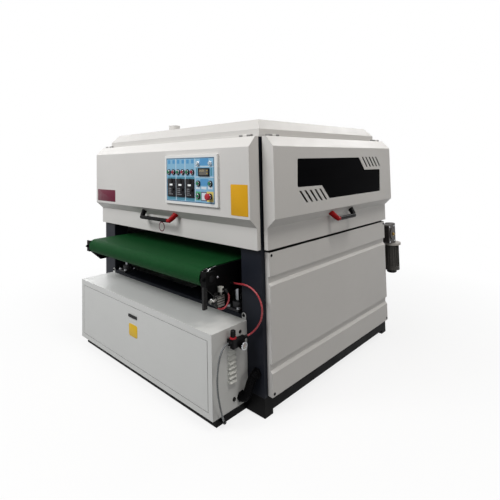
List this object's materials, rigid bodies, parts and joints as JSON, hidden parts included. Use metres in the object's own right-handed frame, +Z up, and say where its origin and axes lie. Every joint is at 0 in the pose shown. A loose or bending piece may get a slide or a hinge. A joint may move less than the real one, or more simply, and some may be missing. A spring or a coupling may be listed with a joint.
{
  "type": "brush sanding machine",
  "caption": "Floor-standing brush sanding machine: lifting feed-belt table under a hinged sheet hood with powered brush rollers, front control panel and electric cabinet.",
  "frame": {"origin": "on the floor under the middle of the whole machine", "axes": "+X to the operator's right, +Y into the machine along the feed, +Z up"},
  "size_m": [2.0084, 2.0451, 1.72],
  "materials": {
    "cover_paint": "satin powder coat",
    "cabinet_paint": "satin powder coat",
    "frame_paint": "satin paint",
    "base_paint": "satin paint",
    "motor_paint": "satin paint",
    "machined_steel": "machined",
    "zinc_steel": "zinc plated",
    "chrome_bar": "hard chrome",
    "cast_aluminium": "cast",
    "cast_housing": "painted casting",
    "feed_belt_pvc": "matte rough top",
    "black_rubber": "matte",
    "roller_rubber": "matte",
    "brush_bristle": "abrasive strips",
    "black_plastic": "moulded",
    "panel_film": "printed film, unlettered",
    "instrument_black": "moulded",
    "window_smoke": "smoked sheet",
    "green_plastic": "moulded",
    "red_plastic": "moulded",
    "yellow_plastic": "moulded",
    "red_tube": "extruded tube",
    "clear_tube": "extruded tube"
  },
  "bodies": {
    "machine_frame": {"base_frame": "base_paint", "main_frame": "frame_paint", "lid": "cover_paint", "lower_panels": "cover_paint", "fasteners": "zinc_steel", "cover_hinges": "zinc_steel", "cabinet_body": "cabinet_paint", "switchgear": "black_plastic", "lift_units": "cast_housing", "brush_motors": "motor_paint", "drive_belts": "black_rubber", "bearing_blocks": "cast_housing", "air_regulator": "black_plastic", "cable_conduit": "black_plastic", "long_air_tube": "red_tube", "supply_tube": "clear_tube"},
    "front_cover_body": {"front_cover": "cover_paint", "control_box": "cabinet_paint", "control_face": "panel_film", "panel_instruments": "instrument_black", "front_handle": "black_plastic"},
    "right_cover_body": {"right_cover": "cover_paint", "right_window": "window_smoke", "right_handle": "black_plastic"},
    "left_cover_body": {"left_cover": "cover_paint", "left_handle": "black_plastic"},
    "rear_cover_body": {"rear_cover": "cover_paint", "rear_handle": "black_plastic"},
    "cabinet_door_body": {"cabinet_door": "cabinet_paint"},
    "door_latch_body": {"door_latch": "black_plastic"},
    "table_body": {"table_frame": "frame_paint", "feed_belt": "feed_belt_pvc", "take_up_units": "frame_paint", "lift_rods": "chrome_bar", "gearbox": "cast_aluminium", "feed_motor": "motor_paint", "tracking_unit": "cast_aluminium", "short_air_loop": "red_tube"},
    "drive_roller_body": {"drive_roller": "machined_steel"},
    "idler_roller_body": {"idler_roller": "machined_steel"},
    "brush_1_body": {"brush_drum_1": "machined_steel", "brush_strips_1": "brush_bristle"},
    "brush_2_body": {"brush_drum_2": "machined_steel", "brush_strips_2": "brush_bristle"},
    "motor_pulley_1_body": {"motor_pulley_1": "cast_aluminium"},
    "motor_pulley_2_body": {"motor_pulley_2": "cast_aluminium"},
    "hold_down_1_body": {"hold_down_roller_1": "roller_rubber"},
    "hold_down_2_body": {"hold_down_roller_2": "roller_rubber"},
    "regulator_knob_body": {"regulator_knob": "black_plastic"},
    "start_button_1_body": {"start_button_1": "green_plastic"},
    "stop_button_1_body": {"stop_button_1": "red_plastic"},
    "start_button_2_body": {"start_button_2": "green_plastic"},
    "stop_button_2_body": {"stop_button_2": "red_plastic"},
    "start_button_3_body": {"start_button_3": "green_plastic"},
    "stop_button_3_body": {"stop_button_3": "red_plastic"},
    "table_up_button_body": {"table_up_button": "green_plastic"},
    "table_down_button_body": {"table_down_button": "green_plastic"},
    "power_button_body": {"power_button": "green_plastic"},
    "emergency_stop_body": {"emergency_stop": "red_plastic"}
  },
  "joints": [
    {"name": "front_cover_hinge", "type": "hinge", "parent": "machine_frame", "child": "front_cover_body", "pos_m": [0, -0.7645, 1.531], "axis": [-1, 0, 0], "range_deg": [0, 75]},
    {"name": "right_cover_hinge", "type": "hinge", "parent": "machine_frame", "child": "right_cover_body", "pos_m": [0.91, -0.0095, 1.531], "axis": [0, -1, 0], "range_deg": [0, 75]},
    {"name": "left_cover_hinge", "type": "hinge", "parent": "machine_frame", "child": "left_cover_body", "pos_m": [-0.91, -0.0095, 1.531], "axis": [0, 1, 0], "range_deg": [0, 75]},
    {"name": "rear_cover_hinge", "type": "hinge", "parent": "machine_frame", "child": "rear_cover_body", "pos_m": [0, 0.7455, 1.531], "axis": [1, 0, 0], "range_deg": [0, 75]},
    {"name": "cabinet_door_hinge", "type": "hinge", "parent": "machine_frame", "child": "cabinet_door_body", "pos_m": [0, -1.0105, 0.094], "axis": [1, 0, 0], "range_deg": [0, 95]},
    {"name": "door_latch_turn", "type": "hinge", "parent": "cabinet_door_body", "child": "door_latch_body", "pos_m": [-0.007, -1.0165, 0.391], "axis": [0, -1, 0], "range_deg": [0, 90]},
    {"name": "table_lift", "type": "slide", "parent": "machine_frame", "child": "table_body", "axis": [0, 0, 1], "range_m": [-0.06, 0.055], "deforming": ["long_air_tube"]},
    {"name": "drive_roller_turn", "type": "hinge", "parent": "table_body", "child": "drive_roller_body", "pos_m": [0, 0.8925, 0.754], "axis": [1, 0, 0], "continuous": true},
    {"name": "idler_roller_turn", "type": "hinge", "parent": "table_body", "child": "idler_roller_body", "pos_m": [0, -0.9565, 0.754], "axis": [1, 0, 0], "continuous": true},
    {"name": "brush_1_turn", "type": "hinge", "parent": "machine_frame", "child": "brush_1_body", "pos_m": [0, -0.2845, 1.04], "axis": [1, 0, 0], "continuous": true},
    {"name": "motor_pulley_1_turn", "type": "hinge", "parent": "machine_frame", "child": "motor_pulley_1_body", "pos_m": [0.85, -0.2845, 1.33], "axis": [1, 0, 0], "continuous": true},
    {"name": "brush_2_turn", "type": "hinge", "parent": "machine_frame", "child": "brush_2_body", "pos_m": [0, 0.2655, 1.04], "axis": [1, 0, 0], "continuous": true},
    {"name": "motor_pulley_2_turn", "type": "hinge", "parent": "machine_frame", "child": "motor_pulley_2_body", "pos_m": [0.85, 0.2655, 1.33], "axis": [1, 0, 0], "continuous": true},
    {"name": "hold_down_1_turn", "type": "hinge", "parent": "machine_frame", "child": "hold_down_1_body", "pos_m": [0, -0.5045, 0.905], "axis": [1, 0, 0], "continuous": true},
    {"name": "hold_down_2_turn", "type": "hinge", "parent": "machine_frame", "child": "hold_down_2_body", "pos_m": [0, 0.4855, 0.905], "axis": [1, 0, 0], "continuous": true},
    {"name": "regulator_knob_turn", "type": "hinge", "parent": "machine_frame", "child": "regulator_knob_body", "pos_m": [0.8, -0.8955, 0.46], "axis": [0, 0, 1], "range_deg": [0, 330]},
    {"name": "start_button_1_press", "type": "slide", "parent": "front_cover_body", "child": "start_button_1_body", "axis": [0, 1, 0], "range_m": [0, 0.005], "stiffness_N_per_m": 400},
    {"name": "stop_button_1_press", "type": "slide", "parent": "front_cover_body", "child": "stop_button_1_body", "axis": [0, 1, 0], "range_m": [0, 0.005], "stiffness_N_per_m": 400},
    {"name": "start_button_2_press", "type": "slide", "parent": "front_cover_body", "child": "start_button_2_body", "axis": [0, 1, 0], "range_m": [0, 0.005], "stiffness_N_per_m": 400},
    {"name": "stop_button_2_press", "type": "slide", "parent": "front_cover_body", "child": "stop_button_2_body", "axis": [0, 1, 0], "range_m": [0, 0.005], "stiffness_N_per_m": 400},
    {"name": "start_button_3_press", "type": "slide", "parent": "front_cover_body", "child": "start_button_3_body", "axis": [0, 1, 0], "range_m": [0, 0.005], "stiffness_N_per_m": 400},
    {"name": "stop_button_3_press", "type": "slide", "parent": "front_cover_body", "child": "stop_button_3_body", "axis": [0, 1, 0], "range_m": [0, 0.005], "stiffness_N_per_m": 400},
    {"name": "table_up_button_press", "type": "slide", "parent": "front_cover_body", "child": "table_up_button_body", "axis": [0, 1, 0], "range_m": [0, 0.005], "stiffness_N_per_m": 400},
    {"name": "table_down_button_press", "type": "slide", "parent": "front_cover_body", "child": "table_down_button_body", "axis": [0, 1, 0], "range_m": [0, 0.005], "stiffness_N_per_m": 400},
    {"name": "power_button_press", "type": "slide", "parent": "front_cover_body", "child": "power_button_body", "axis": [0, 1, 0], "range_m": [0, 0.005], "stiffness_N_per_m": 400},
    {"name": "emergency_stop_press", "type": "slide", "parent": "front_cover_body", "child": "emergency_stop_body", "axis": [0, 1, 0], "range_m": [0, 0.005], "stiffness_N_per_m": 400}
  ],
  "couplings": [
    {"joint": "idler_roller_turn", "follows": "drive_roller_turn", "ratio": 1},
    {"joint": "motor_pulley_1_turn", "follows": "brush_1_turn", "ratio": 1},
    {"joint": "motor_pulley_2_turn", "follows": "brush_2_turn", "ratio": 1}
  ]
}
